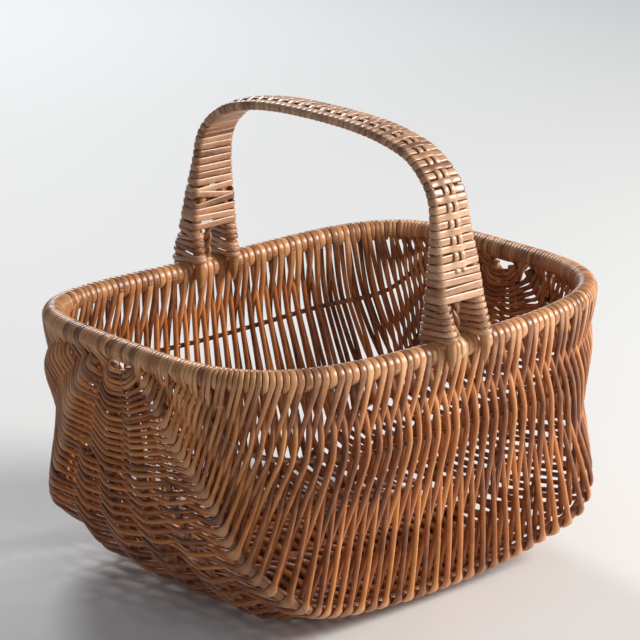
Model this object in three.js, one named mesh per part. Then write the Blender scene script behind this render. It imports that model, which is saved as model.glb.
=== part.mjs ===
// A woven market basket with a fixed bow handle, in millimetres, +Z up, standing on z = 0.
// X runs along the basket, Y across it, and the bow stands over the middle, from side to side.
import * as THREE from "three";

// ---- Driving dimensions -------------------------------------------------------------------

// The rim is a rounded oblong hoop, a little higher at its two ends than along its sides.
const RIM = { halfLength: 200, halfWidth: 142, squareness: 3.9, height: 206, endRise: 6.5 };
const HOOP_RADIUS = 6.2;
const RIM_WRAP = { inner: 6.5, outer: 8.7, sides: 8 };
const STATIONS_PER_SIDE = 24;

// Half of each rib, from under the rim at one end to the middle of the basket: [x, y, z].
// The other half mirrors it, and each rib has a twin on the far side.
const RIBS = {
  mid: {
    radius: 2,
    anchor: 56,
    crowding: 0,
    half: [[199, 56, 201.5], [196, 88, 184], [176, 113, 158], [120, 140, 147.5], [0, 143, 144]],
  },
  edge: {
    radius: 4,
    anchor: 28,
    crowding: 0.35,
    half: [
      [199, 28, 201.5], [197, 60, 160], [185, 85, 117], [177, 111, 73],
      [151, 135, 43], [101, 128, 22], [0, 126, 13],
    ],
  },
  insert: {
    radius: 2.5,
    anchor: 18,
    crowding: 0.85,
    half: [
      [199, 18, 201.5], [198, 37, 150], [191, 52, 99], [174, 68, 53],
      [142, 82, 20], [88, 85, 6.5], [0, 85, 6],
    ],
  },
  base: {
    radius: 3.5,
    anchor: 9,
    crowding: 1,
    half: [
      [199, 9, 201.5], [198, 14, 150], [193, 20, 97], [174, 24, 50],
      [142, 26, 19], [88, 27, 7.2], [0, 27, 7],
    ],
  },
};
const INSERT_START = 0.12; // how far along its line an inserted rib begins
const RIB_STEPS = 34;

// The weave, as bands of neighbouring strands laid from one side of the rim to the other.
// Places along the rim are shares of the length of one of its sides.
const WEAVE = {
  bands: 13,
  gap: 0.004,
  thickness: 2.4,
  leastThickness: 1.1, // where a band is cut flat by the level that the basket stands on
  ribClearance: 2.4,
  rimDrop: 10.8,
  rimOffset: 1.5,
  clearOfAnchor: 0.004,
  columns: 2,
  crowding: [0.24, 0.12],
};
const SEGMENTS_BETWEEN_RIBS = [3, 5, 3, 3, 2, 3, 3, 5, 3];
// The short strands at each end, laid round the middle of the rim there.
const FAN = { from: 0.036, to: 0.104, segments: 10, offset: 6.2, columns: 3 };

// The bow's centre line over one half: [y, height above the rim].
const BOW = [
  [142, -14], [142, 0], [139.5, 36], [134.5, 87], [127.5, 117], [103, 138.5], [62, 148.5], [0, 151.5],
];
// The four bow rods, by distance from the foot: outer and inner rods part left and right,
// and stand in front of and behind the rim, before they come together in one layer.
const ROD_STATIONS = [
  { at: 0, outerX: 17.6, innerX: 17.6, depth: 13.4, radius: 1.2 },
  { at: 10, outerX: 17.6, innerX: 17.6, depth: 13.4, radius: 3.6 },
  { at: 22, outerX: 17.6, innerX: 17.6, depth: 12.8, radius: 4.1 },
  { at: 50, outerX: 17.6, innerX: 17.6, depth: 5.1, radius: 4.3 },
  { at: 76, outerX: 16.5, innerX: 9.8, depth: 2.6, radius: 3.7 },
  { at: 104, outerX: 14.3, innerX: 4.8, depth: 0, radius: 2.9 },
  { at: 165, outerX: 12.2, innerX: 4, depth: 0, radius: 2.2 },
  { at: 268, outerX: 11.8, innerX: 3.9, depth: 0, radius: 1.9 },
];
const WRAP = { clearance: 0.3, thickness: 1.1 };
const FOOT_WRAP = { from: 24, to: 48.5 };
const LEADER = { from: 74, x: 3.3, width: 3, thickness: 1.2 };
const TWIST = { from: 23.6, to: 48, long: 4.4, short: 2.6, turns: 2.5, steps: 14 };
// Distances from the foot at which the bow's pieces have a ring of corners.
const BELOW_WRAP = [0, 10, 22, 36];
const ABOVE_FOOT = [...evenSteps(50, 140, 6), ...evenSteps(165, 255, 3)];

const GAP = 0.3;

// ---- Materials ----------------------------------------------------------------------------

const willow = (color) => new THREE.MeshStandardMaterial({ color, roughness: 0.45, metalness: 0 });
const COLOURS = { rim: 0xa9714a, rib: 0x9a6436, weave: 0xb4793f, handle: 0xb98555, wrap: 0xc08a5c };

// ---- Geometry helpers ---------------------------------------------------------------------

const basket = new THREE.Group();

function addMesh(name, geometry, color) {
  const mesh = new THREE.Mesh(geometry, willow(color));
  mesh.name = name;
  basket.add(mesh);
  return mesh;
}

// Six times the volume inside a triangle list, positive when its faces point out.
function signedVolume(points, triangles) {
  let sum = 0;
  for (let i = 0; i < triangles.length; i += 3) {
    const [a, b, c] = [points[triangles[i]], points[triangles[i + 1]], points[triangles[i + 2]]];
    sum += a.dot(new THREE.Vector3().crossVectors(b, c));
  }
  return sum;
}

// A closed skin over rings of equal length. It caps both ends, or, when looped, runs on from
// the last ring into the first.
function loft(rings, looped = false) {
  const count = rings[0].length;
  const points = rings.flat();
  const triangles = [];
  const spans = looped ? rings.length : rings.length - 1;
  for (let i = 0; i < spans; i++) {
    const here = i * count;
    const next = ((i + 1) % rings.length) * count;
    for (let k = 0; k < count; k++) {
      const m = (k + 1) % count;
      triangles.push(here + k, next + k, next + m, here + k, next + m, here + m);
    }
  }
  if (!looped) {
    const end = (rings.length - 1) * count;
    for (let k = 1; k < count - 1; k++) {
      triangles.push(0, k, k + 1, end, end + k + 1, end + k);
    }
  }
  if (signedVolume(points, triangles) < 0) triangles.reverse();
  const geometry = new THREE.BufferGeometry().setFromPoints(points);
  geometry.setIndex(triangles);
  geometry.computeVertexNormals();
  return geometry;
}

// A tube whose wall is open at both ends: out along the outer rings, back along the inner ones.
function sleeve(outerRings, innerRings) {
  return loft([...outerRings, ...[...innerRings].reverse()], true);
}

function evenSteps(from, to, count) {
  return Array.from({ length: count + 1 }, (_, i) => from + ((to - from) * i) / count);
}

function polygon(sides, radius) {
  const corners = [];
  for (let i = 0; i < sides; i++) {
    const angle = (2 * Math.PI * (i + 0.5)) / sides;
    corners.push(new THREE.Vector2(radius * Math.cos(angle), radius * Math.sin(angle)));
  }
  return corners;
}

function rod(curve, radius, steps, sides = 6) {
  const section = new THREE.Shape(polygon(sides, radius));
  return new THREE.ExtrudeGeometry(section, { steps, bevelEnabled: false, extrudePath: curve });
}

// Straight-line interpolation of one value in a list of stations.
function valueAt(stations, at, key) {
  const next = stations.findIndex((station) => station.at >= at);
  if (next === 0) return stations[0][key];
  if (next < 0) return stations[stations.length - 1][key];
  const [a, b] = [stations[next - 1], stations[next]];
  return THREE.MathUtils.mapLinear(at, a.at, b.at, a[key], b[key]);
}

// ---- Rim ----------------------------------------------------------------------------------

// One side of the rim, from the middle of the left end to the middle of the right end.
class HalfRim extends THREE.Curve {
  constructor(side) {
    super();
    this.side = side;
    this.arcLengthDivisions = 2000;
  }

  getPoint(t, target = new THREE.Vector3()) {
    const angle = Math.PI * t;
    const power = 2 / RIM.squareness;
    const along = Math.cos(angle);
    const x = -RIM.halfLength * Math.sign(along) * Math.abs(along) ** power;
    const y = this.side * RIM.halfWidth * Math.sin(angle) ** power;
    return target.set(x, y, RIM.height + RIM.endRise * (x / RIM.halfLength) ** 2);
  }
}

const NEARBY = 0.003; // a small step along the rim, for directions
const RIM_SIDES = { near: new HalfRim(-1), far: new HalfRim(1) };
const RIM_LENGTH = RIM_SIDES.near.getLength();

// The whole rim as one loop: 0 to 1 is the near side, 1 to 2 the far side, back to the start.
function rimAt(position) {
  const turn = ((position % 2) + 2) % 2;
  const fromEnd = turn <= 1 ? turn : 2 - turn;
  return (turn <= 1 ? RIM_SIDES.near : RIM_SIDES.far).getPointAt(fromEnd);
}

function rimRing(position, radius, sides) {
  const centre = rimAt(position);
  const tangent = rimAt(position + NEARBY).sub(rimAt(position - NEARBY)).normalize();
  const outward = new THREE.Vector3(tangent.y, -tangent.x, 0).normalize();
  const up = new THREE.Vector3().crossVectors(outward, tangent);
  return polygon(sides, radius).map((corner) =>
    centre.clone().addScaledVector(outward, corner.x).addScaledVector(up, corner.y));
}

// Hoop and wrapping share their stations, so that the wrapping follows the hoop's facets.
function rimRings(stations, radius) {
  return stations.map((station) => rimRing(station, radius, RIM_WRAP.sides));
}

const allStations = evenSteps(0, 2, 2 * STATIONS_PER_SIDE).slice(0, -1);
addMesh("rim_hoop", loft(rimRings(allStations, HOOP_RADIUS), true), COLOURS.rim);

// The wrapping is open where one stretch hands over to the next.
const RIM_STRETCHES = {
  near_left: [0.25, 0.5],
  near_right: [0.5, 0.75],
  right_end: [0.75, 1.25],
  far_right: [1.25, 1.5],
  far_left: [1.5, 1.75],
  left_end: [1.75, 2.25],
};
for (const [place, [from, to]] of Object.entries(RIM_STRETCHES)) {
  const stations = evenSteps(from, to, Math.round((to - from) * STATIONS_PER_SIDE));
  stations[0] += GAP / RIM_LENGTH;
  const skin = [RIM_WRAP.outer, RIM_WRAP.inner].map((radius) => rimRings(stations, radius));
  addMesh(`rim_wrap_${place}`, sleeve(...skin), COLOURS.rim);
}

// ---- Ribs ---------------------------------------------------------------------------------

function ribCurve(half, side) {
  const left = half.map(([x, y, z]) => new THREE.Vector3(-x, side * y, z));
  const right = left.slice(0, -1).reverse().map((p) => new THREE.Vector3(-p.x, p.y, p.z));
  return new THREE.CatmullRomCurve3([...left, ...right], false, "centripetal");
}

// The stretch of a curve between two shares of its length.
function stretch(curve, from, to, count) {
  const points = [];
  for (let i = 0; i <= count; i++) points.push(curve.getPointAt(from + ((to - from) * i) / count));
  return new THREE.CatmullRomCurve3(points, false, "centripetal");
}

const ribLines = [];
for (const [place, side] of [["near", -1], ["far", 1]]) {
  for (const [kind, rib] of Object.entries(RIBS)) {
    const whole = ribCurve(rib.half, side);
    const start = kind === "insert" ? INSERT_START : 0;
    ribLines.push({
      curve: whole,
      start: rib.anchor / RIM_LENGTH,
      offset: rib.radius + WEAVE.ribClearance,
      crowding: rib.crowding,
      across: side * rib.anchor,
    });
    const curve = start ? stretch(whole, start, 1 - start, RIB_STEPS) : whole;
    addMesh(`rib_${kind}_${place}`, rod(curve, rib.radius, RIB_STEPS), COLOURS.rib);
  }
}
ribLines.sort((a, b) => a.across - b.across);

// ---- Weave --------------------------------------------------------------------------------

// How far along a rib a strand crosses it: strands lie closer on the ribs' ends than on the rim.
function ribShare(rib, share) {
  const even = (share - rib.start) / (1 - 2 * rib.start);
  const [once, twice] = WEAVE.crowding.map((amount) => amount * rib.crowding);
  const turn = 2 * Math.PI * even;
  return even - (once * Math.sin(turn) + (twice / 2) * Math.sin(2 * turn)) / (2 * Math.PI);
}

// The line of one strand, from the near side of the rim, across the ribs, to the far side.
// share is how far along the rim it starts. Each point holds its offset from the rib in w.
function strandLine(share) {
  const rimEnd = (side) => {
    const point = side.getPointAt(share);
    return new THREE.Vector4(point.x, point.y, point.z - WEAVE.rimDrop, WEAVE.rimOffset);
  };
  const shareFromEnd = Math.min(share, 1 - share);
  const crossed = ribLines.filter((rib) => shareFromEnd > rib.start + WEAVE.clearOfAnchor);
  const crossings = crossed.map((rib) => {
    const point = rib.curve.getPointAt(ribShare(rib, share));
    return new THREE.Vector4(point.x, point.y, point.z, rib.offset);
  });
  return [rimEnd(RIM_SIDES.near), ...crossings, rimEnd(RIM_SIDES.far)];
}

function smoothLine(line) {
  const places = line.map((point) => new THREE.Vector3(point.x, point.y, point.z));
  return new THREE.CatmullRomCurve3(places, false, "centripetal");
}

// Evenly spaced points on a short strand, which crosses only the ribs near an end's middle.
function alongShortStrand(share) {
  const places = smoothLine(strandLine(share)).getSpacedPoints(FAN.segments);
  return places.map((at) => ({ at, offset: FAN.offset }));
}

// Points along a long strand, with set numbers of segments between neighbouring ribs.
function alongStrand(share) {
  const segments = SEGMENTS_BETWEEN_RIBS;
  const line = strandLine(share);
  const places = smoothLine(line);
  const points = [];
  segments.forEach((count, span) => {
    for (let i = 0; i < count; i++) {
      const part = i / count;
      const offset = THREE.MathUtils.lerp(line[span].w, line[span + 1].w, part);
      points.push({ at: places.getPoint((span + part) / segments.length), offset });
    }
  });
  points.push({ at: places.getPoint(1), offset: line[line.length - 1].w });
  return points;
}

// One band of strands between two shares of the rim: a curved strip with its outer face on
// the strands' outer side, flat where the basket stands.
function bandGeometry(from, to, columns, along) {
  const faces = [];
  for (let c = 0; c <= columns; c++) {
    const share = from + ((to - from) * c) / columns;
    const here = along(share);
    const left = along(share - NEARBY);
    const right = along(share + NEARBY);
    faces.push(here.map(({ at, offset }, i) => {
      const before = here[Math.max(i - 1, 0)].at;
      const after = here[Math.min(i + 1, here.length - 1)].at;
      const across = right[i].at.clone().sub(left[i].at);
      const normal = across.cross(after.clone().sub(before)).normalize().negate();
      const inner = at.clone().addScaledVector(normal, offset);
      const outer = at.clone().addScaledVector(normal, offset + WEAVE.thickness);
      inner.z = Math.max(inner.z, WEAVE.leastThickness);
      outer.z = Math.max(outer.z, 0);
      return { inner, outer };
    }));
  }
  const rings = faces[0].map((_, i) => [
    ...faces.map((column) => column[i].outer),
    ...faces.map((column) => column[i].inner).reverse(),
  ]);
  return loft(rings);
}

const bandWidth = (1 - 2 * FAN.to) / WEAVE.bands;
for (let band = 0; band < WEAVE.bands; band++) {
  const from = FAN.to + band * bandWidth + WEAVE.gap / 2;
  const geometry = bandGeometry(from, from + bandWidth - WEAVE.gap, WEAVE.columns, alongStrand);
  addMesh(`weave_band_${String(band + 1).padStart(2, "0")}`, geometry, COLOURS.weave);
}
const fanEnd = FAN.to - WEAVE.gap / 2;
const FANS = { left: [FAN.from, fanEnd], right: [1 - fanEnd, 1 - FAN.from] };
for (const [hand, [from, to]] of Object.entries(FANS)) {
  addMesh(`weave_fan_${hand}`, bandGeometry(from, to, FAN.columns, alongShortStrand), COLOURS.weave);
}

// ---- Handle -------------------------------------------------------------------------------

// The bow stands in the plane x = 0 and runs from the near foot over to the far foot.
const bowHalf = BOW.map(([y, z]) => new THREE.Vector3(0, -y, RIM.height + z));
const bowFar = bowHalf.slice(0, -1).reverse().map((p) => new THREE.Vector3(0, -p.y, p.z));
const bowCurve = new THREE.CatmullRomCurve3([...bowHalf, ...bowFar], false, "centripetal");
const BOW_LENGTH = bowCurve.getLength();

// A ring of [x, depth] corners set square to the bow, depth counted away from its inside.
function bowRing(share, corners) {
  const centre = bowCurve.getPointAt(share);
  const tangent = bowCurve.getTangentAt(share);
  const outward = new THREE.Vector3(0, -tangent.z, tangent.y);
  return corners.map(([x, depth]) =>
    new THREE.Vector3(x, centre.y, centre.z).addScaledVector(outward, depth));
}

const footDistance = (share) => Math.min(share, 1 - share) * BOW_LENGTH;

// Shares of the bow from one leg to the other, at set distances from each foot.
function overTheBow(distances) {
  const near = distances.map((distance) => distance / BOW_LENGTH);
  return [...near, ...near.map((share) => 1 - share).reverse()];
}

// Shares of the bow on one leg only.
function onOneLeg(distances, leg) {
  const near = distances.map((distance) => distance / BOW_LENGTH);
  return leg === "near" ? near : near.map((share) => 1 - share);
}

function handleRod(layer, side) {
  const depthSide = layer === "outer" ? 1 : -1;
  const rings = overTheBow([...BELOW_WRAP, ...ABOVE_FOOT]).map((share) => {
    const at = footDistance(share);
    const x = side * valueAt(ROD_STATIONS, at, `${layer}X`);
    const depth = depthSide * valueAt(ROD_STATIONS, at, "depth");
    const corners = polygon(6, valueAt(ROD_STATIONS, at, "radius"));
    return bowRing(share, corners.map((corner) => [x + corner.x, depth + corner.y]));
  });
  return loft(rings);
}

const HANDS = { left: -1, right: 1 };
for (const layer of ["outer", "inner"]) {
  for (const [hand, side] of Object.entries(HANDS)) {
    addMesh(`handle_rod_${layer}_${hand}`, handleRod(layer, side), COLOURS.handle);
  }
}

// An oblong with cut corners, half as wide and deep as given.
function oblong(x, halfWidth, halfDepth) {
  const cut = 0.35 * Math.min(halfWidth, halfDepth);
  const [w, d] = [halfWidth, halfDepth];
  const corners = [
    [w, d - cut], [w - cut, d], [cut - w, d], [-w, d - cut],
    [-w, cut - d], [cut - w, -d], [w - cut, -d], [w, cut - d],
  ];
  return corners.map(([across, depth]) => [x + across, depth]);
}

// Half the width and half the depth of the bundle of rods, at a distance from the foot.
function bundleSize(at) {
  const room = valueAt(ROD_STATIONS, at, "radius") + WRAP.clearance;
  return [valueAt(ROD_STATIONS, at, "outerX") + room, valueAt(ROD_STATIONS, at, "depth") + room];
}

function bowWrapRings(wall) {
  return overTheBow(ABOVE_FOOT).map((share) => {
    const [halfWidth, halfDepth] = bundleSize(footDistance(share));
    return bowRing(share, oblong(0, halfWidth + wall, halfDepth + wall));
  });
}
addMesh("handle_wrap", sleeve(bowWrapRings(WRAP.thickness), bowWrapRings(0)), COLOURS.wrap);

// Two leaders lie side by side along the bow's outer face.
function leader(x) {
  const distances = [LEADER.from, ...ABOVE_FOOT.filter((at) => at > LEADER.from + LEADER.width)];
  const rings = overTheBow(distances).map((share) => {
    const low = bundleSize(footDistance(share))[1] + WRAP.thickness + GAP;
    const half = LEADER.width / 2;
    const high = low + LEADER.thickness;
    return bowRing(share, [[x + half, low], [x + half, high], [x - half, high], [x - half, low]]);
  });
  return loft(rings);
}
for (const [hand, side] of Object.entries(HANDS)) {
  addMesh(`handle_leader_${hand}`, leader(side * LEADER.x), COLOURS.wrap);
}

// Each foot's outer and inner rod are wrapped as a pair, and a twisted rod stands between them.
function footWrap(leg, side) {
  const places = onOneLeg(evenSteps(FOOT_WRAP.from, FOOT_WRAP.to, 2), leg);
  const rings = (wall) => places.map((share) => {
    const at = footDistance(share);
    const radius = valueAt(ROD_STATIONS, at, "radius") + WRAP.clearance + wall;
    const halfDepth = valueAt(ROD_STATIONS, at, "depth") + radius;
    return bowRing(share, oblong(side * valueAt(ROD_STATIONS, at, "outerX"), radius, halfDepth));
  });
  return sleeve(rings(WRAP.thickness), rings(0));
}

function footTwist(leg) {
  const places = onOneLeg(evenSteps(TWIST.from, TWIST.to, TWIST.steps), leg);
  const rings = places.map((share, i) => {
    const turn = (2 * Math.PI * TWIST.turns * i) / TWIST.steps;
    const corners = polygon(8, 1).map((corner) => {
      const turned = new THREE.Vector2(corner.x * TWIST.long, corner.y * TWIST.short);
      turned.rotateAround(new THREE.Vector2(), turn);
      return [turned.x, turned.y];
    });
    return bowRing(share, corners);
  });
  return loft(rings);
}

for (const leg of ["near", "far"]) {
  for (const [hand, side] of Object.entries(HANDS)) {
    addMesh(`foot_wrap_${leg}_${hand}`, footWrap(leg, side), COLOURS.wrap);
  }
  addMesh(`foot_twist_${leg}`, footTwist(leg), COLOURS.handle);
}

export default basket;
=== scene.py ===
import math

import bpy
import numpy as np
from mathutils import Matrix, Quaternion, Vector


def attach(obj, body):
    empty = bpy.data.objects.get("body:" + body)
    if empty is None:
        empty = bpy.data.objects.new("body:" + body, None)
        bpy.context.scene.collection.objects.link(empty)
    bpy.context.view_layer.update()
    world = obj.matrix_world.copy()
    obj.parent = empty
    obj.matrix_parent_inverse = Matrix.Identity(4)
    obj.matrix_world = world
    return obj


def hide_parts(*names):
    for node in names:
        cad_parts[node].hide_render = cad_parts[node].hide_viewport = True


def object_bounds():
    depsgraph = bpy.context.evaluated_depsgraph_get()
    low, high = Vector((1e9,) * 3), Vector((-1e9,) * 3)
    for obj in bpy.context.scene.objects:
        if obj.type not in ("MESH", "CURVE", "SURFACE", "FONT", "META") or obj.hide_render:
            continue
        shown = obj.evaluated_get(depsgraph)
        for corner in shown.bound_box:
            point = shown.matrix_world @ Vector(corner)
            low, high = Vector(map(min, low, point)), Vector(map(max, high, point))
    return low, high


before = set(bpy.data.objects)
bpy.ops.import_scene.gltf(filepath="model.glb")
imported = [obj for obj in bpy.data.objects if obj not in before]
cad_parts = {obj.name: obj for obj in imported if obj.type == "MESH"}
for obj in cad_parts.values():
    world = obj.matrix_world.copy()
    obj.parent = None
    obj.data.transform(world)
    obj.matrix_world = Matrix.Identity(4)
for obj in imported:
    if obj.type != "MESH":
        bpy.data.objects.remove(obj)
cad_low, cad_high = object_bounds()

# A woven willow basket with a wrapped bow handle. Sizes are in millimetres, times MM.
MM = 0.001
rng = np.random.default_rng(7)

UP = np.array([0, 0, 1.0])
SIDEWARD = np.array([1.0, 0, 0])                   # along the basket, and across the bow
ACROSS_RIBS = np.array([0, 1.0, 0.3])              # never along a rib
NEARBY = 0.003                                     # a small share of a line, for directions

# ---- Sizes ----------------------------------------------------------------------------------

# The weave: passes of strand from one side of the rim to the other.
SPACING = {"side": 4.7 * MM, "end": 2.6 * MM}      # between neighbouring passes, along the rim
CORNER = {"from": 0.62, "to": 0.94}                # where one spacing turns into the other, by x
FIRST_SHARE = 0.013                                # of the rim's side, from its pole to the first pass
FAN_SHARE = 0.104                                  # where the small fan ends and the bands begin
BANDS = 13
# How much closer strands lie on a rib's ends than on the rim, as in the CAD.
CROWDING = {"once": 0.24, "twice": 0.12, "mid": 0, "edge": 0.35, "insert": 0.85, "base": 1}
STRAND_RADIUS = {"side": 2.12 * MM, "end": 1.68 * MM}
STRAND_VARIETY = (0.94, 1.05)                      # thickness from strand to strand
STRAND_SWELL = {"amount": 0.03, "length": 23 * MM}   # and along each one
STRAND_SIDES = 12
STRAND_STEP = 2.8 * MM
FEWEST_STEPS = 4                                   # between two ribs
STEEPNESS = 0.55                                   # 1 where a strand changes sides in a smooth S
SMOOTHINGS = 2
TAUTNESS = 0.9                                     # 1 where strands run straight to an edge rib
FLOOR_CLEARANCE = 0.1 * MM
# How far a crossing moves aside on each rib, and how much that varies, in millimetres.
SIDEWAYS = {"mid": 1.0, "edge": 1.7, "insert": 0.7, "base": 0.5, "varies": 0.22}
# A strand spreads out over an edge rib, and is painted pale there as a painted highlight.
KNOB = {"width": 1.0, "thinning": 0.2, "length": 5.5 * MM, "wear_and_highlight": 0.8, "varies": (0.7, 1.15)}
# Strands lie flatter and wider under the basket, more and more from one level down to the other.
BOTTOM_WIDENING = 0.55
BOTTOM_LEVEL = {"from": 12 * MM, "to": 40 * MM}
WHOLE_PHASE = 6                                    # nearly a full turn, for where a wave starts

# The rim. Two passes share a turn over it, and every second pair of turns has an extra one between.
TURN_RADIUS = 7.45 * MM                            # strand's middle from the hoop's middle
TURN_THICKNESS = 1.2 * MM
TURN_FILL = 0.485                                  # half width of a turn, as a share of the pitch
PASSES_PER_TURN = 4 / 3
TURN_SHIFT = 1 / 3                                 # of the spacing, to make room for an extra turn
TURN_VARIES = 0.15 * MM
TURN_ANGLES = np.linspace(208, 0, 15)              # from inside the hoop over its top to outside
TUCK_ANGLES = np.array([172, 158])                 # a strand's end, inside the hoop
TUCKED = {"deeper": 0.12 * MM, "narrower": 0.1 * MM}
ROUND_ANGLES = np.linspace(0, 360, 25)[:-1]
EXTRA_TURN_DEEPER = 0.06 * MM
# A strand is flat over the rim and round again this far below it.
SPREAD_LENGTH = {"outside": 15 * MM, "inside": 30 * MM}
SPREAD_POWER, RUBBED_POWER = 1.3, 0.7              # how suddenly it becomes flat, and rubbed
# Rods and leaders have one tone each, from 0 for dark to 1 for light.
ROD_TONE = {"rim": 0.3, "rib": 0.35, "handle": 0.6, "leader": 0.75}
HOOP_STEPS, HOOP_ROUNDNESS = 121, 16

# The ribs.
RIBS = ("mid", "edge", "insert", "base")
INSERT_START = 0.12                                # an inserted rib's first and last share is missing
RIB_END = 0.004                                    # no strand crosses a rib closer to its end
RIB_WOBBLE = {"amount": 0.04, "steps": 9.0}
RIB_STEPS, RIB_ROUNDNESS = 150, 12

# The handle.
ROW = {
    "from": 51 * MM, "pitch": 5.9 * MM, "thickness": 0.85 * MM, "corner": 2.4 * MM,
    "tilt": 0.32 * MM, "shift": 0.16 * MM, "fill": 0.485, "varies": (0.93, 1.0), "boxy": 0.6,
}
LEADER = {
    "from": 72 * MM, "x": 3.4 * MM, "width": 2.5 * MM, "thickness": 0.75 * MM,
    "step": 1.1 * MM, "raises": 6.2 * MM, "presses": 0.5 * MM, "steepness": 1.6, "sinks": 0.6,
}
# Two loose rows cross inside the far leg, at this distance from its foot.
CROSSED_ROWS = {"from": 76 * MM, "tilt": 2.6 * MM}
FOOT_ROW = {
    "from": 24.6 * MM, "pitch": 4.75 * MM, "count": 6, "thickness": 1.0 * MM, "corner": 0.9,
    "tilt": 0.5 * MM, "shift": 0.25 * MM, "fill": 0.44, "varies": (0.9, 1.02),
}
TWIST = {
    "from": 19 * MM, "to": 50 * MM, "turns": 1.4, "offset": 2.0 * MM, "radius": 2.0 * MM, "steps": 40,
}
TAIL = {
    "radius": 8.6 * MM, "from": 130, "to": -50, "width": 3.0 * MM, "thickness": 1.3 * MM,
    "end": 0.8, "steps": 24,
}
# The bow's rods, with blunt tips.
STICK = {"steps": 160, "taper": 9 * MM, "tip": 0.12, "bluntness": 0.7, "roundness": 14}

# ---- Reading the frame ------------------------------------------------------------------------


def corners(node):
    """A CAD node's corners, each once."""
    points = np.array([v.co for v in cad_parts[node].data.vertices])
    return np.unique(points.round(6), axis=0)


def rings(node, sides, angle):
    """A CAD rod's rings of corners, in order of an angle round the basket."""
    points = corners(node)
    order = np.argsort(angle(points), kind="stable")
    return points[order].reshape(-1, sides, 3)


def ring_radius(ring):
    """How far the corners of rings stand from their middles."""
    return np.linalg.norm(ring - ring.mean(1, keepdims=True), axis=2).mean(1)


# ---- Lines ----------------------------------------------------------------------------------


def unit(v):
    return v / np.maximum(np.linalg.norm(v, axis=-1, keepdims=True), 1e-12)


def smooth_spans(points, counts):
    """A centripetal Catmull-Rom line through points, with its own number of steps in each span."""
    points = np.asarray(points, float)
    padded = np.vstack([2 * points[0] - points[1], points, 2 * points[-1] - points[-2]])
    knots = np.concatenate([[0], np.cumsum(np.linalg.norm(np.diff(padded, axis=0), axis=1) ** 0.5)])
    found = []
    for i, count in enumerate(counts):
        p, k = padded[i:i + 4], knots[i:i + 4]
        t = (k[1] + (k[2] - k[1]) * np.arange(count) / count)[:, None]
        a = [((k[j + 1] - t) * p[j] + (t - k[j]) * p[j + 1]) / (k[j + 1] - k[j]) for j in range(3)]
        b = [((k[j + 2] - t) * a[j] + (t - k[j]) * a[j + 1]) / (k[j + 2] - k[j]) for j in range(2)]
        found.append(((k[2] - t) * b[0] + (t - k[1]) * b[1]) / (k[2] - k[1]))
    return np.vstack([*found, points[-1:]])


class Line:
    """A smooth line through points, read by its length."""

    def __init__(self, points, steps=12):
        self.points = smooth_spans(points, [steps] * (len(points) - 1))
        self.marks = np.concatenate([[0], np.cumsum(np.linalg.norm(np.diff(self.points, axis=0), axis=1))])
        self.length = self.marks[-1]

    def at(self, share):
        distance = np.clip(share, 0, 1) * self.length
        return np.stack([np.interp(distance, self.marks, self.points[:, i]) for i in range(3)], -1)

    def tangent(self, share, step=NEARBY):
        return unit(self.at(np.minimum(share + step, 1)) - self.at(np.maximum(share - step, 0)))


# ---- Building pieces ---------------------------------------------------------------------------


BOXINESS = 0.45                                    # how square a split strip's section is
GRAIN_RADIUS = 1.6 * MM                            # for the grain's coordinates on every strand
GRAIN_STARTS = 20                                  # each strand's grain starts somewhere up to here


def signed_power(values, power):
    """Values raised to a power, each with its sign kept."""
    return np.sign(values) * np.abs(values) ** power


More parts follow.
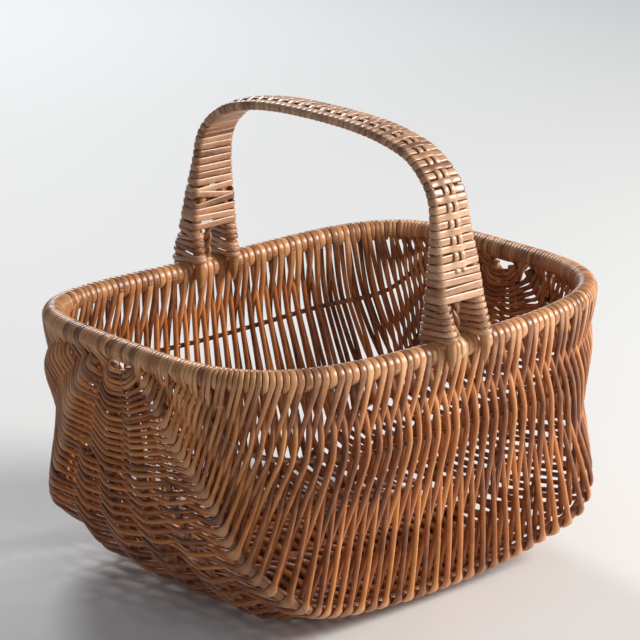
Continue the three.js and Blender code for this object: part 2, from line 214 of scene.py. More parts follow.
class Piece:
    """Collects swept strands into one mesh, with each strand's tone and grain for its material."""

    def __init__(self, name):
        self.name = name
        self.points, self.faces, self.tones, self.grain, self.wear_and_highlight = [], [], [], [], []
        self.count = 0

    def sweep(self, path, normals, half_width, half_thickness,
              sides=STRAND_SIDES, loop=False, tone=None, wear_and_highlight=0.0, boxy=0.0):
        """Adds a strand: an oval section along path, with half_thickness measured along normals.

        Its paleness is 1 where it is rubbed pale, as over the rim, partly a painted highlight on a knob over
        an edge rib, and 0 elsewhere.
        boxy is 1 where the section has a split strip's flat faces, and 0 where it is an oval."""
        path = np.asarray(path, float)
        if loop:
            tangents = unit(np.roll(path, -1, 0) - np.roll(path, 1, 0))
        else:
            tangents = unit(np.gradient(path, axis=0))
        normals = np.broadcast_to(normals, path.shape)
        normals = unit(normals - (normals * tangents).sum(1, keepdims=True) * tangents)
        flips = np.sign((normals[1:] * normals[:-1]).sum(1))
        normals = normals * np.concatenate([[1], np.cumprod(flips)])[:, None]
        across = np.cross(tangents, normals)
        angle = 2 * np.pi * np.arange(sides) / sides
        power = 1 - BOXINESS * np.broadcast_to(boxy, len(path))[:, None]
        wide = np.broadcast_to(half_width, len(path))[:, None] * signed_power(np.cos(angle), power)
        thick = np.broadcast_to(half_thickness, len(path))[:, None] * signed_power(np.sin(angle), power)
        body = path[:, None] + wide[..., None] * across[:, None] + thick[..., None] * normals[:, None]
        along = np.concatenate([[0], np.cumsum(np.linalg.norm(np.diff(path, axis=0), axis=1))])
        tone = rng.uniform() if tone is None else tone
        start = rng.uniform(0, GRAIN_STARTS)
        grain = np.stack([
            np.broadcast_to(along[:, None] + start, wide.shape),
            np.broadcast_to(GRAIN_RADIUS * np.cos(angle), wide.shape),
            np.broadcast_to(GRAIN_RADIUS * np.sin(angle) + start, wide.shape),
        ], -1)
        index = self.count + np.arange(len(path) * sides).reshape(-1, sides)
        after = np.roll(index, -1, 0) if loop else index[1:]
        here = index if loop else index[:-1]
        quads = np.stack([here, np.roll(here, -1, 1), np.roll(after, -1, 1), after], -1)
        self.faces += quads.reshape(-1, 4).tolist()
        self.points.append(body.reshape(-1, 3))
        self.grain.append(grain.reshape(-1, 3))
        self.count += index.size
        if not loop:
            self.faces += [index[0][::-1].tolist(), index[-1].tolist()]
        self.tones.append(np.full(index.size, tone))
        self.wear_and_highlight.append(np.repeat(np.broadcast_to(wear_and_highlight, len(path)), sides))

    def make(self, material, slot, *replaced):
        """Turns the strands into an object that stands for the replaced CAD nodes."""
        mesh = bpy.data.meshes.new(self.name)
        mesh.from_pydata(np.vstack(self.points), [], self.faces)
        tone = mesh.attributes.new("tone", "FLOAT", "POINT")
        tone.data.foreach_set("value", np.concatenate(self.tones).astype(np.float32))
        wear_and_highlight = mesh.attributes.new("wear_and_highlight", "FLOAT", "POINT")
        wear_and_highlight.data.foreach_set("value", np.concatenate(self.wear_and_highlight).astype(np.float32))
        grain = mesh.attributes.new("grain", "FLOAT_VECTOR", "POINT")
        grain.data.foreach_set("vector", np.vstack(self.grain).astype(np.float32).ravel())
        mesh.polygons.foreach_set("use_smooth", [len(face) == 4 for face in self.faces])
        mesh.materials.append(material)
        mesh.update()
        made = bpy.data.objects.new(self.name, mesh)
        bpy.context.scene.collection.objects.link(made)
        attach(made, "root")
        if replaced:
            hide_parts(*replaced)
        return made


# ---- Materials -----------------------------------------------------------------------------------

# Light, mid and dark colours where willow is rubbed pale, also used for the painted highlight on knobs over
# edge ribs.
RUBBED_AND_HIGHLIT = ((0.76, 0.39, 0.175), (0.53, 0.235, 0.092), (0.17, 0.06, 0.024))
# Each grain's stretch along the strand, its scale and its detail.
GRAINS = {"fibres": (18, 1500, 3), "blotches": (2.5, 60, 2), "spots": (1.5, 260, 2)}
# How much the strand's own tone and each grain lighten or darken it.
TONE_SHARES = {"tone": 0.42, "fibres": 0.5, "blotches": 0.62, "spots": 0.22}
RAMP = {"dark": 0.22, "mid": 0.5, "light": 0.82}
ROUGHNESS = {"low": 0.28, "high": 0.56}
BUMP = {"strength": 0.35, "height": 0.25 * MM, "spots": 0.6}
COAT_ROUGHNESS = 0.22


def willow(name, light, mid, dark, coat=0.35):
    """Varnished willow: a tone for each strand, blotches and fine fibres along it, uneven gloss."""
    material = bpy.data.materials.new(name)
    material.use_nodes = True
    nodes, links = material.node_tree.nodes, material.node_tree.links
    shader = nodes["Principled BSDF"]

    def node(kind, **inputs):
        made = nodes.new(kind)
        for key, value in inputs.items():
            made.inputs[key.replace("_", " ")].default_value = value
        return made

    grain = nodes.new("ShaderNodeAttribute")
    grain.attribute_name = "grain"
    tone = nodes.new("ShaderNodeAttribute")
    tone.attribute_name = "tone"

    def noise(stretch, scale, detail):
        """Noise over the strand's own coordinates, stretched along it."""
        mapping = node("ShaderNodeMapping")
        mapping.inputs["Scale"].default_value = (1 / stretch, 1, 1)
        links.new(grain.outputs["Vector"], mapping.inputs["Vector"])
        made = node("ShaderNodeTexNoise", Scale=scale, Detail=detail)
        links.new(mapping.outputs["Vector"], made.inputs["Vector"])
        return made.outputs["Fac"]

    def math_node(operation, a, b):
        made = nodes.new("ShaderNodeMath")
        made.operation = operation
        for place, value in enumerate((a, b)):
            if isinstance(value, (int, float)):
                made.inputs[place].default_value = value
            else:
                links.new(value, made.inputs[place])
        return made.outputs[0]

    fibres, blotches, spots = (noise(*values) for values in GRAINS.values())
    level = math_node("MULTIPLY", tone.outputs["Fac"], TONE_SHARES["tone"])
    level = math_node("ADD", level, math_node("MULTIPLY", blotches, TONE_SHARES["blotches"]))
    for kind, grains in (("fibres", fibres), ("spots", spots)):
        centred = math_node("SUBTRACT", grains, 0.5)
        level = math_node("ADD", level, math_node("MULTIPLY", centred, TONE_SHARES[kind]))

    def ramp(light, mid, dark):
        """The strand's colour by its level, from dark through mid to light."""
        made = nodes.new("ShaderNodeValToRGB")
        made.color_ramp.elements[0].position = RAMP["dark"]
        made.color_ramp.elements[0].color = (*dark, 1)
        made.color_ramp.elements[1].position = RAMP["light"]
        made.color_ramp.elements[1].color = (*light, 1)
        made.color_ramp.elements.new(RAMP["mid"]).color = (*mid, 1)
        links.new(level, made.inputs["Fac"])
        return made.outputs["Color"]

    # Mixed towards the pale colours where the willow is rubbed, and where a painted highlight lies on a knob.
    wear_and_highlight = nodes.new("ShaderNodeAttribute")
    wear_and_highlight.attribute_name = "wear_and_highlight"
    mix = nodes.new("ShaderNodeMix")
    mix.data_type = "RGBA"
    links.new(wear_and_highlight.outputs["Fac"], mix.inputs["Factor"])
    links.new(ramp(light, mid, dark), mix.inputs[6])
    links.new(ramp(*RUBBED_AND_HIGHLIT), mix.inputs[7])
    links.new(mix.outputs[2], shader.inputs["Base Color"])

    rough = node("ShaderNodeMapRange")
    rough.inputs["To Min"].default_value = ROUGHNESS["low"]
    rough.inputs["To Max"].default_value = ROUGHNESS["high"]
    links.new(blotches, rough.inputs["Value"])
    links.new(rough.outputs["Result"], shader.inputs["Roughness"])
    bump = node("ShaderNodeBump", Strength=BUMP["strength"], Distance=BUMP["height"])
    relief = math_node("ADD", fibres, math_node("MULTIPLY", spots, BUMP["spots"]))
    links.new(relief, bump.inputs["Height"])
    links.new(bump.outputs["Normal"], shader.inputs["Normal"])
    shader.inputs["Coat Weight"].default_value = coat
    shader.inputs["Coat Roughness"].default_value = COAT_ROUGHNESS
    return material


WEAVE_WILLOW = willow("weave_willow", (0.68, 0.265, 0.066), (0.44, 0.138, 0.028), (0.13, 0.035, 0.010))
RIB_WILLOW = willow("rib_willow", (0.50, 0.24, 0.12), (0.30, 0.12, 0.05), (0.11, 0.04, 0.02))
HANDLE_WILLOW = willow("handle_willow", (0.72, 0.44, 0.27), (0.52, 0.27, 0.15), (0.24, 0.10, 0.05), coat=0.5)
ROD_WILLOW = willow("rod_willow", (0.60, 0.33, 0.13), (0.42, 0.19, 0.07), (0.18, 0.07, 0.03))
CUT_WILLOW = willow("cut_willow", (0.84, 0.66, 0.40), (0.72, 0.50, 0.27), (0.50, 0.30, 0.14), coat=0.1)

# ---- Rim and rib lines ------------------------------------------------------------------------------

HOOP_SIDES, RIB_SIDES = 8, 6
JUST_BEFORE = 0.05                                 # so that the ring at the left pole comes first


def hoop_order(points):
    """The angle of points round the rim, from the left pole and by the near side."""
    return (np.arctan2(points[:, 1], points[:, 0]) + np.pi + JUST_BEFORE) % (2 * np.pi)


hoop = rings("rim_hoop", HOOP_SIDES, hoop_order)
hoop_line = hoop.mean(1)
half_count = len(hoop_line) // 2
RIM = {
    "near": Line(hoop_line[:half_count + 1]),
    "far": Line(np.vstack([hoop_line[half_count:], hoop_line[:1]])[::-1]),
}
RIM_LENGTH = RIM["near"].length
HOOP_RADIUS = ring_radius(hoop).mean()
# Heights of points that the shape is seen from, as shares of the whole height.
BELLY_HEIGHT, RIB_VIEW, BOW_VIEW = 0.35, 0.7, 0.3
BELLY = np.array([0, 0, BELLY_HEIGHT * cad_high.z])


def rim_frame(side, share):
    """The rim's middle there, with its outward side and its upper side."""
    centre = RIM[side].at(share)
    tangent = RIM[side].tangent(share)
    outward = unit(np.array([tangent[1], -tangent[0], 0]))
    outward = outward if outward @ centre > 0 else -outward
    up = np.cross(outward, tangent)
    up = up if up[2] > 0 else -up
    return centre, outward, up


def rib_order(points):
    """The angle of points round the basket's long section, from the left pole down and round."""
    return np.arctan2(points[:, 0], cad_high.z * RIB_VIEW - points[:, 2])


rib_lines = []
for side in ("near", "far"):
    for kind in RIBS:
        ring = rings(f"rib_{kind}_{side}", RIB_SIDES, rib_order)
        line = Line(ring.mean(1))
        rib_lines.append({
            "kind": kind,
            "side": side,
            "line": line,
            "radius": ring_radius(ring).mean(),
            "anchor": abs(line.points[0][1]),
            "cut": INSERT_START if kind == "insert" else 0,
        })
base_anchor = next(r["anchor"] for r in rib_lines if r["kind"] == "base")
for rib in rib_lines:
    # An inserted rib's line would start beside the base rib, on its outer side.
    if rib["kind"] == "insert":
        rib["anchor"] = 2 * base_anchor
    rib["start"] = rib["anchor"] / RIM_LENGTH
ORDER = {"mid": 4, "edge": 3, "insert": 2, "base": 1}    # from the middle of the bottom to the rim
rib_lines.sort(key=lambda r: ORDER[r["kind"]] * (-1 if r["side"] == "near" else 1))


def rib_share(rib, share):
    """Where along a rib's line the strand at that share of the rim crosses it."""
    even = (share - rib["start"]) / (1 - 2 * rib["start"])
    turn = 2 * math.pi * even
    wave = CROWDING["once"] * math.sin(turn) + CROWDING["twice"] / 2 * math.sin(2 * turn)
    along = even - CROWDING[rib["kind"]] * wave / (2 * math.pi)
    return (along - rib["cut"]) / (1 - 2 * rib["cut"])


def crosses(rib, share):
    """Whether the strand at that share of the rim crosses the rib."""
    return RIB_END < rib_share(rib, share) < 1 - RIB_END


# ---- Where the passes lie -----------------------------------------------------------------------------

shares = np.linspace(FIRST_SHARE, 1 - FIRST_SHARE, 2001)
rim_x = np.abs(RIM["near"].at(shares)[:, 0]) / RIM["near"].points[:, 0].max()
corner = np.clip((rim_x - CORNER["from"]) / (CORNER["to"] - CORNER["from"]), 0, 1)
corner = corner * corner * (3 - 2 * corner)
spacing = SPACING["side"] + (SPACING["end"] - SPACING["side"]) * corner
count_marks = np.concatenate([[0], np.cumsum(np.diff(shares) * RIM_LENGTH / spacing[1:])])
PASSES = 2 * round(count_marks[-1] / 2)
pass_shares = np.interp((np.arange(PASSES) + 0.5) / PASSES * count_marks[-1], count_marks, shares)


def gap_at(share):
    """The spacing of passes along the rim, as a share of its side."""
    return np.interp(share, shares, spacing) / RIM_LENGTH


def radius_at(share):
    """A strand's radius: thicker strands are woven along the sides than round the ends."""
    part = (np.interp(share, shares, spacing) - SPACING["side"]) / (SPACING["end"] - SPACING["side"])
    return STRAND_RADIUS["side"] + (STRAND_RADIUS["end"] - STRAND_RADIUS["side"]) * part


def make_turns(first):
    """Each pass's turn on one side of the rim, the extra turns' places and the shared turns' places."""
    turns, places = {}, []
    pairs = [(i, i + 1) for i in range(first, PASSES, 2)]
    for j, pair in enumerate(pairs):
        inside = [pass_shares[i] for i in pair if 0 <= i < PASSES]
        middle = sum(inside) / len(inside)
        middle += (-1 if j % 2 == 0 else 1) * gap_at(middle) * TURN_SHIFT
        middle += rng.normal(0, TURN_VARIES) / RIM_LENGTH
        places.append(middle)
        for i in pair:
            turns[i] = middle
    extra = [(places[j] + places[j + 1]) / 2 for j in range(0, len(places) - 1, 2)]
    return turns, extra, places


near_turns, near_extra, near_places = make_turns(0)
far_turns, far_extra, far_places = make_turns(-1)

# ---- Strands ------------------------------------------------------------------------------------------


def turn_width(share):
    """Half the width of a turn over the rim."""
    return TURN_FILL * gap_at(share) * RIM_LENGTH * PASSES_PER_TURN


def rim_turn(side, share, angles, radius=TURN_RADIUS):
    """Points and outward directions round the hoop, by angles from its outer side up over the top."""
    centre, outward, up = rim_frame(side, share)
    turn = np.radians(angles)[:, None]
    away = np.cos(turn) * outward + np.sin(turn) * up
    return centre + radius * away, away


def wall(i):
    """One pass's middle line from the near rim to the far one, with directions out of the basket
    and the places in the line where it lies outside an edge rib."""
    kind = 1 if i % 2 == 0 else -1
    share = pass_shares[i]
    stops = [{"at": near_turns[i], "rim": "near", "out": kind * TURN_RADIUS}]
    side = -kind
    radius = radius_at(share)
    crossed = [r for r in rib_lines if crosses(r, share)]
    for rib in crossed:
        moved = share + (side * SIDEWAYS[rib["kind"]] + rng.normal(0, SIDEWAYS["varies"])) * MM / RIM_LENGTH
        stops.append({"at": moved, "rib": rib, "out": side * (rib["radius"] + radius)})
        side = -side
    stops.append({"at": far_turns[i], "rim": "far", "out": side * TURN_RADIUS})

    def place(stop, share):
        if "rim" in stop:
            return RIM[stop["rim"]].at(share)
        return stop["rib"]["line"].at(rib_share(stop["rib"], share))

    points = np.array([place(stop, stop["at"]) for stop in stops])
    normals = []
    for k, stop in enumerate(stops):
        if "rim" in stop:
            normals.append(rim_frame(stop["rim"], stop["at"])[1])
            continue
        across = place(stop, stop["at"] + NEARBY) - place(stop, stop["at"] - NEARBY)
        normal = unit(np.cross(across, points[k + 1] - points[k - 1]))
        normals.append(normal if normal @ (points[k] - BELLY) > 0 else -normal)
    normals = np.array(normals)
    lengths = np.linalg.norm(np.diff(points, axis=0), axis=1)
    counts = [max(FEWEST_STEPS, round(length / STRAND_STEP)) for length in lengths]
    line = smooth_spans(points, counts)
    starts = np.concatenate([[0], np.cumsum(counts)])
    for k, count in enumerate(counts):
        kinds = {stop["rib"]["kind"] for stop in stops[k:k + 2] if "rib" in stop}
        if "edge" in kinds:
            chord = points[k] + (points[k + 1] - points[k]) * (np.arange(count) / count)[:, None]
            here = slice(starts[k], starts[k] + count)
            line[here] += TAUTNESS * (chord - line[here])
    out, facing = [], []
    for k, count in enumerate(counts):
        part = np.arange(count) / count
        eased = (1 - STEEPNESS) * part + STEEPNESS * part * part * (3 - 2 * part)
        out.append(stops[k]["out"] + (stops[k + 1]["out"] - stops[k]["out"]) * eased)
        facing.append(normals[k] + (normals[k + 1] - normals[k]) * part[:, None])
    out = np.concatenate([*out, [stops[-1]["out"]]])
    facing = unit(np.vstack([*facing, normals[-1:]]))
    line = line + facing * out[:, None]
    for _ in range(SMOOTHINGS):
        line[1:-1] = 0.25 * line[:-2] + 0.5 * line[1:-1] + 0.25 * line[2:]
    line[:, 2] = np.maximum(line[:, 2], radius + FLOOR_CLEARANCE)
    edges = [k for k, stop in enumerate(stops) if "rib" in stop and stop["rib"]["kind"] == "edge"]
    return line, facing, [starts[k] for k in edges if stops[k]["out"] > 0]


def lying(points, normals):
    """How far a strand lies under the basket: 1 on its bottom and 0 on its walls."""
    level = (BOTTOM_LEVEL["to"] - points[:, 2]) / (BOTTOM_LEVEL["to"] - BOTTOM_LEVEL["from"])
    return np.abs(unit(normals)[:, 2]) * np.clip(level, 0, 1)


def add_pass(piece, i):
    """A pass with the turn over the rim that leads into it, ending inside the other side of the rim."""
    line, facing, knobs = wall(i)
    start, end = ("near", "far") if i % 2 == 0 else ("far", "near")
    if start == "far":
        line, facing = line[::-1], facing[::-1]
        knobs = [len(line) - 1 - knob for knob in knobs]
    turns = {"near": near_turns[i], "far": far_turns[i]}
    over, away = rim_turn(start, turns[start], TURN_ANGLES)
    tuck, inward = rim_turn(end, turns[end], TUCK_ANGLES, TURN_RADIUS - TUCKED["deeper"])
    path = np.vstack([over[:-1], line, tuck])
    normals = np.vstack([away[:-1], facing, inward])
    marks = np.concatenate([[0], np.cumsum(np.linalg.norm(np.diff(path, axis=0), axis=1))])
    from_start = np.maximum(marks - marks[len(over) - 1], 0)
    from_end = np.maximum(marks[-len(tuck) - 1] - marks, 0)
    wave = np.sin(marks / STRAND_SWELL["length"] + rng.uniform(0, WHOLE_PHASE))
    swell = 1 + STRAND_SWELL["amount"] * wave
    radius = radius_at(pass_shares[i]) * rng.uniform(*STRAND_VARIETY) * swell
    spread_start = np.exp(-(from_start / SPREAD_LENGTH["outside"]) ** SPREAD_POWER)
    spread_end = np.exp(-(from_end / SPREAD_LENGTH["inside"]) ** SPREAD_POWER)
    spread = np.maximum(spread_start, spread_end)
    tucked_width = turn_width(turns[end]) - TUCKED["narrower"]
    widest = np.where(spread_start > spread_end, turn_width(turns[start]), tucked_width)
    wide = radius + (widest - radius) * spread
    thin = radius + (TURN_THICKNESS - radius) * spread
    wide = wide * (1 + BOTTOM_WIDENING * lying(path, normals))
    rubbed_and_highlit = spread ** RUBBED_POWER
    for knob in knobs:
        from_knob = marks - marks[len(over) - 1 + knob]
        bulge = np.exp(-(from_knob / KNOB["length"]) ** 2)
        wide = wide * (1 + KNOB["width"] * bulge * rng.uniform(*KNOB["varies"]))
        thin = thin * (1 - KNOB["thinning"] * bulge)
        # The knob is mixed towards the pale colours: a painted highlight.
        rubbed_and_highlit = np.maximum(rubbed_and_highlit, KNOB["wear_and_highlight"] * bulge)
    piece.sweep(path, normals, wide, thin, wear_and_highlight=rubbed_and_highlit, boxy=spread)


def band_of(share):
    """The CAD node of the weave that a pass belongs to."""
    if share < FAN_SHARE:
        return "weave_fan_left"
    if share > 1 - FAN_SHARE:
        return "weave_fan_right"
    band = int((share - FAN_SHARE) / (1 - 2 * FAN_SHARE) * BANDS)
    return f"weave_band_{min(band, BANDS - 1) + 1:02d}"


woven = {}
for i in range(PASSES):
    node = band_of(pass_shares[i])
    if node not in woven:
        woven[node] = Piece(f"{node}_strands")
    add_pass(woven[node], i)
for node, piece in woven.items():
    piece.make(WEAVE_WILLOW, "weave", node)

# ---- Rim hoop and extra turns ---------------------------------------------------------------------------

rod = Piece("rim_hoop_rod")
along_rim = np.linspace(0, 1, HOOP_STEPS)
round_rim = np.vstack([RIM["near"].at(along_rim)[:-1], RIM["far"].at(along_rim[::-1])[:-1]])
rod.sweep(round_rim, UP, HOOP_RADIUS, HOOP_RADIUS, sides=HOOP_ROUNDNESS, loop=True, tone=ROD_TONE["rim"])
rod.make(ROD_WILLOW, "rim", "rim_hoop")

# The CAD nodes of the rim's wrapping, each from one share of a side to another.
QUARTERS = {
    side: {
        "left_end": (-1, 0.25),
        f"{side}_left": (0.25, 0.5),
        f"{side}_right": (0.5, 0.75),
        "right_end": (0.75, 2),
    }
    for side in ("near", "far")
}
turn_pieces = {}


def add_turn(side, share, half_width):
    """A closed turn round the rim, in the piece for that stretch of it."""
    place = next(name for name, (low, high) in QUARTERS[side].items() if low <= share < high)
    if place not in turn_pieces:
        turn_pieces[place] = Piece(f"rim_turns_{place}")
    points, away = rim_turn(side, share, ROUND_ANGLES, TURN_RADIUS - EXTRA_TURN_DEEPER)
    turn_pieces[place].sweep(points, away, half_width, TURN_THICKNESS, loop=True, wear_and_highlight=1.0, boxy=1.0)


for side, extra in (("near", near_extra), ("far", far_extra)):
    for share in extra:
        add_turn(side, share, turn_width(share))
# The pole at each end is wrapped without strands leaving it.
for side, places in (("near", near_places), ("far", far_places)):
    for first, pole in ((min(places), 0), (max(places), 1)):
        pitch = gap_at(first) * PASSES_PER_TURN
        gap = abs(pole - first)
        count = round(gap / pitch)
        for j in range(1, count):
            share = first + (pole - first) * j / count
            add_turn(side, share, TURN_FILL * RIM_LENGTH * gap / count)
        if side == "near":
            add_turn(side, pole, TURN_FILL * RIM_LENGTH * gap / count)
for place, piece in turn_pieces.items():
    piece.make(WEAVE_WILLOW, "rim_wrapping", f"rim_wrap_{place}")

# ---- Ribs ------------------------------------------------------------------------------------------------

for rib in rib_lines:
    name = f"rib_{rib['kind']}_{rib['side']}"
    piece = Piece(f"{name}_rod")
    path = rib["line"].at(np.linspace(0, 1, RIB_STEPS))
    wave = np.sin(np.arange(RIB_STEPS) / RIB_WOBBLE["steps"] + rng.uniform(0, WHOLE_PHASE))
    radius = rib["radius"] * (1 + RIB_WOBBLE["amount"] * wave)
    piece.sweep(path, ACROSS_RIBS, radius, radius, sides=RIB_ROUNDNESS, tone=ROD_TONE["rib"])
    piece.make(RIB_WILLOW, "ribs", name)

# ---- Handle ------------------------------------------------------------------------------------------------


def bow_order(points):
    """The angle of points round the bow, from the near foot to the far foot."""
    return np.arctan2(points[:, 1], points[:, 2] - cad_high.z * BOW_VIEW)


def ring_places(line, middles):
    """How far along a line its rings' middles lie."""
    return [line.marks[np.argmin(np.linalg.norm(line.points - p, axis=1))] for p in middles]


ROD_SIDES = 6
BOW_NEARBY = 0.008                                 # a small share of the bow, for directions
rods = {}
for layer in ("outer", "inner"):
    for hand in ("left", "right"):
        ring = rings(f"handle_rod_{layer}_{hand}", ROD_SIDES, bow_order)
        rods[layer, hand] = {"middle": ring.mean(1), "radius": ring_radius(ring)}
bow_middle = sum(r["middle"] for r in rods.values()) / len(rods)
bow = Line(bow_middle)
ring_marks = ring_places(bow, bow_middle)
outer_rod = rods["outer", "right"]
rod_radius = outer_rod["radius"]
rod_x = np.abs(outer_rod["middle"][:, 0])
rod_depth = np.linalg.norm((outer_rod["middle"] - bow_middle)[:, 1:], axis=1)


def bow_size(distance):
    """The bundle of rods there: the rods' x, depth and radius."""
    return tuple(np.interp(distance, ring_marks, values) for values in (rod_x, rod_depth, rod_radius))


def bow_frame(distance):
    """The bow's middle there, with its direction and its outward side."""
    share = np.atleast_1d(distance) / bow.length
    tangent = bow.tangent(share, BOW_NEARBY)
    outward = np.stack([0 * tangent[:, 0], -tangent[:, 2], tangent[:, 1]], -1)
    return bow.at(share), tangent, outward


for (layer, hand), rod in rods.items():
    piece = Piece(f"handle_rod_{layer}_{hand}_stick")
    line = Line(rod["middle"])
    along = np.linspace(0, 1, STICK["steps"])
    radius = np.interp(along * line.length, ring_places(line, rod["middle"]), rod["radius"])
    from_tip = np.minimum(along, 1 - along) * line.length
    radius = radius * np.clip(from_tip / STICK["taper"], STICK["tip"], 1) ** STICK["bluntness"]
    piece.sweep(line.at(along), SIDEWARD, radius, radius, sides=STICK["roundness"], tone=ROD_TONE["handle"])
    piece.make(ROD_WILLOW, "handle_rods", f"handle_rod_{layer}_{hand}")


LOOP_STEPS = {"corner": 6, "width": 16, "depth": 5}
TOP_FACING = 0.9                                   # a loop's outer face looks out at least this much


def oblong_loop(half_width, half_depth, corner):
    """A loop round an oblong with round corners: x, depth and the outward direction in that plane."""
    inner_x, inner_depth = half_width - corner, half_depth - corner
    places = []
    for quarter, (sx, sd) in enumerate(((1, 1), (-1, 1), (-1, -1), (1, -1))):
        for angle in np.radians(90 * quarter + np.linspace(0, 90, LOOP_STEPS["corner"])):
            away = math.cos(angle), math.sin(angle)
            places.append((sx * inner_x + corner * away[0], sd * inner_depth + corner * away[1], *away))
        if quarter % 2 == 0:
            for x in np.linspace(sx * inner_x, -sx * inner_x, LOOP_STEPS["width"])[1:-1]:
                places.append((x, sd * half_depth, 0, sd))
        else:
            for depth in np.linspace(sd * inner_depth, -sd * inner_depth, LOOP_STEPS["depth"])[1:-1]:
                places.append((sx * half_width, depth, sx, 0))
    return np.array(places)


def on_bow(loop, distance, slant):
    """A loop's points and outward directions, set square to the bow at a distance along it."""
    middle, tangent, outward = bow_frame(distance)
    points = middle + loop[:, :1] * SIDEWARD + loop[:, 1:2] * outward + slant[:, None] * tangent
    return points, loop[:, 2:3] * SIDEWARD + loop[:, 3:4] * outward


wrapping = Piece("handle_wrapping")
bow_end = bow.length - ROW["from"]
row_count = round((bow_end - ROW["from"]) / ROW["pitch"])
row_places = np.linspace(ROW["from"] + ROW["pitch"] / 2, bow_end - ROW["pitch"] / 2, row_count)
row_pitch = row_places[1] - row_places[0]
leader_end = bow.length - LEADER["from"]


def over_leaders(row):
    """Whether a row of the wrapping passes over the two leaders."""
    return row % 2 == 0


for row, place in enumerate(row_places):
    x, depth, radius = bow_size(place)
    thick = ROW["thickness"]
    loop = oblong_loop(x + radius + thick, depth + radius + thick, max(radius, ROW["corner"]))
    lift = 0.0
    if LEADER["from"] < place < leader_end:
        lift = 2 * LEADER["thickness"] if over_leaders(row) else -LEADER["presses"]
    loop[:, 1] += lift * np.exp(-(loop[:, 0] / LEADER["raises"]) ** 4) * (loop[:, 3] > TOP_FACING)
    tilt = rng.normal(0, ROW["tilt"])
    slant = tilt * loop[:, 0] / (x + radius) + rng.normal(0, ROW["shift"])
    from_far_foot = bow.length - place - CROSSED_ROWS["from"]
    if abs(from_far_foot) < row_pitch:
        inside = np.clip(-loop[:, 3], 0, 1)
        slant = slant + np.sign(from_far_foot) * CROSSED_ROWS["tilt"] * inside * loop[:, 0] / (x + radius)
    points, facing = on_bow(loop, place, slant)
    wide = ROW["fill"] * row_pitch * rng.uniform(*ROW["varies"])
    wrapping.sweep(points, facing, wide, thick, loop=True, boxy=ROW["boxy"])
wrapping.make(HANDLE_WILLOW, "handle_wrapping", "handle_wrap")

for hand, sign in (("left", -1), ("right", 1)):
    piece = Piece(f"handle_leader_{hand}_strip")
    along = np.arange(LEADER["from"], leader_end, LEADER["step"])
    x, depth, radius = bow_size(along)
    # The leader goes down under every second row, and comes up over the next.
    wave = -np.cos(np.pi * (along - row_places[0]) / row_pitch)
    above = np.clip(0.5 + 0.5 * LEADER["steepness"] * wave, 0, 1)
    low = depth + radius + LEADER["thickness"] * LEADER["sinks"]
    high = depth + radius + 2 * ROW["thickness"] + LEADER["thickness"]
    height = low + (high - low) * above
    middle, tangent, outward = bow_frame(along)
    points = middle + sign * LEADER["x"] * SIDEWARD + height[:, None] * outward
    piece.sweep(points, outward, LEADER["width"], LEADER["thickness"], tone=ROD_TONE["leader"])
    piece.make(HANDLE_WILLOW, "handle_wrapping", f"handle_leader_{hand}")

for leg in ("near", "far"):
    def on_leg(distance):
        return distance if leg == "near" else bow.length - distance

    for hand, sign in (("left", -1), ("right", 1)):
        piece = Piece(f"foot_wrap_{leg}_{hand}_turns")
        for j in range(FOOT_ROW["count"]):
            place = on_leg(FOOT_ROW["from"] + j * FOOT_ROW["pitch"])
            x, depth, radius = bow_size(place)
            thick = FOOT_ROW["thickness"]
            loop = oblong_loop(radius + thick, depth + radius + thick, radius + thick * FOOT_ROW["corner"])
            slant = rng.normal(0, FOOT_ROW["tilt"]) * loop[:, 1] / depth + rng.normal(0, FOOT_ROW["shift"])
            loop[:, 0] += sign * x
            points, facing = on_bow(loop, place, slant)
            wide = FOOT_ROW["fill"] * FOOT_ROW["pitch"] * rng.uniform(*FOOT_ROW["varies"])
            piece.sweep(points, facing, wide, thick, loop=True)
        piece.make(HANDLE_WILLOW, "handle_wrapping", f"foot_wrap_{leg}_{hand}")

    piece = Piece(f"foot_twist_{leg}_strands")
    along = np.linspace(TWIST["from"], TWIST["to"], TWIST["steps"])
    middle, tangent, outward = bow_frame(on_leg(along))
    for start in (0, np.pi):
        turn = start + 2 * np.pi * TWIST["turns"] * (along - along[0]) / (along[-1] - along[0])
        aside = (TWIST["offset"] * np.cos(turn))[:, None] * SIDEWARD
        away = (TWIST["offset"] * np.sin(turn))[:, None] * outward
        piece.sweep(middle + aside + away, outward, TWIST["radius"], TWIST["radius"])
    piece.make(ROD_WILLOW, "handle_rods", f"foot_twist_{leg}")

    piece = Piece(f"foot_tail_{leg}")
    angles = np.linspace(TAIL["from"], TAIL["to"], TAIL["steps"])
    points, away = rim_turn(leg, 0.5, angles, TAIL["radius"])
    narrowing = np.linspace(1, TAIL["end"], TAIL["steps"])
    piece.sweep(points, away, TAIL["width"] * narrowing, TAIL["thickness"] * narrowing)
    piece.make(CUT_WILLOW, "handle_rods")

# ---- Floor, light and camera -----------------------------------------------------------------------------

FLOOR = {"size": 30, "colour": (0.78, 0.79, 0.80), "roughness": 0.6}      # metres
WORLD = {"colour": (0.86, 0.92, 1.0, 1), "strength": 0.2}
LIGHTS = {
    "key": {"place": (1.6, -1.35, 1.25), "size": 1.1, "power": 74, "colour": (1.0, 0.95, 0.88)},
    "fill": {"place": (-0.6, -2.2, 1.2), "size": 1.6, "power": 6, "colour": (0.92, 0.96, 1.0)},
    "back": {"place": (1.3, 2.7, 1.7), "size": 1.2, "power": 42, "colour": (1.0, 1.0, 1.0)},
}
LIT_POINT = Vector((0, 0, 0.15))
CAMERA = {
    "azimuth": math.radians(-42.52), "elevation": math.radians(17.32), "roll": math.radians(0.3),
    "distance": 2.008, "lens": 151.4, "sensor": 36, "target": Vector((-0.0491, -0.0481, 0.2152)),
}


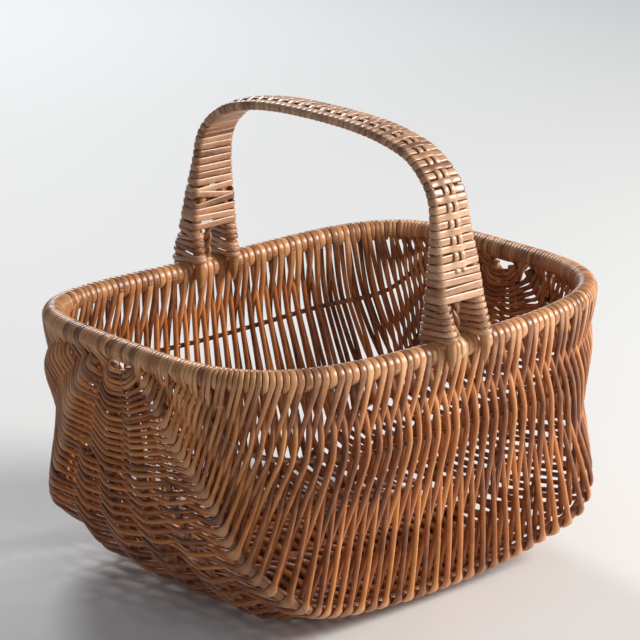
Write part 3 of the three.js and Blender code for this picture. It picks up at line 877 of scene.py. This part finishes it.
def plain(name, colour, roughness):
    """A material of one colour."""
    material = bpy.data.materials.new(name)
    material.use_nodes = True
    shader = material.node_tree.nodes["Principled BSDF"]
    shader.inputs["Base Color"].default_value = (*colour, 1)
    shader.inputs["Roughness"].default_value = roughness
    return material


half = FLOOR["size"] / 2
floor_corners = [(x * half, y * half, 0) for x, y in ((-1, -1), (1, -1), (1, 1), (-1, 1))]
floor_mesh = bpy.data.meshes.new("floor")
floor_mesh.from_pydata(floor_corners, [], [(0, 1, 2, 3)])
floor_mesh.materials.append(plain("floor", FLOOR["colour"], FLOOR["roughness"]))
floor = bpy.data.objects.new("floor", floor_mesh)
bpy.context.scene.collection.objects.link(floor)

world = bpy.data.worlds.new("studio")
bpy.context.scene.world = world
world.use_nodes = True
world.node_tree.nodes["Background"].inputs["Color"].default_value = WORLD["colour"]
world.node_tree.nodes["Background"].inputs["Strength"].default_value = WORLD["strength"]


def area_light(name, place, size, power, colour):
    """A round soft light that shines at the basket's lower half."""
    light = bpy.data.lights.new(name, "AREA")
    light.shape = "DISK"
    light.size = size
    light.energy = power
    light.color = colour
    made = bpy.data.objects.new(name, light)
    made.location = place
    made.rotation_mode = "QUATERNION"
    made.rotation_quaternion = (LIT_POINT - Vector(place)).to_track_quat("-Z", "Y")
    bpy.context.scene.collection.objects.link(made)


for name, values in LIGHTS.items():
    area_light(name, **values)

camera = bpy.data.objects.new("camera", bpy.data.cameras.new("camera"))
bpy.context.scene.collection.objects.link(camera)
back = Vector((
    math.sin(CAMERA["azimuth"]) * math.cos(CAMERA["elevation"]),
    -math.cos(CAMERA["azimuth"]) * math.cos(CAMERA["elevation"]),
    math.sin(CAMERA["elevation"]),
))
camera.location = CAMERA["target"] + CAMERA["distance"] * back
camera.rotation_mode = "QUATERNION"
camera.rotation_quaternion = (-back).to_track_quat("-Z", "Y") @ Quaternion((0, 0, 1), CAMERA["roll"])
camera.data.lens = CAMERA["lens"]
camera.data.sensor_width = CAMERA["sensor"]
bpy.context.scene.camera = camera
bpy.context.scene.view_settings.view_transform = "Standard"
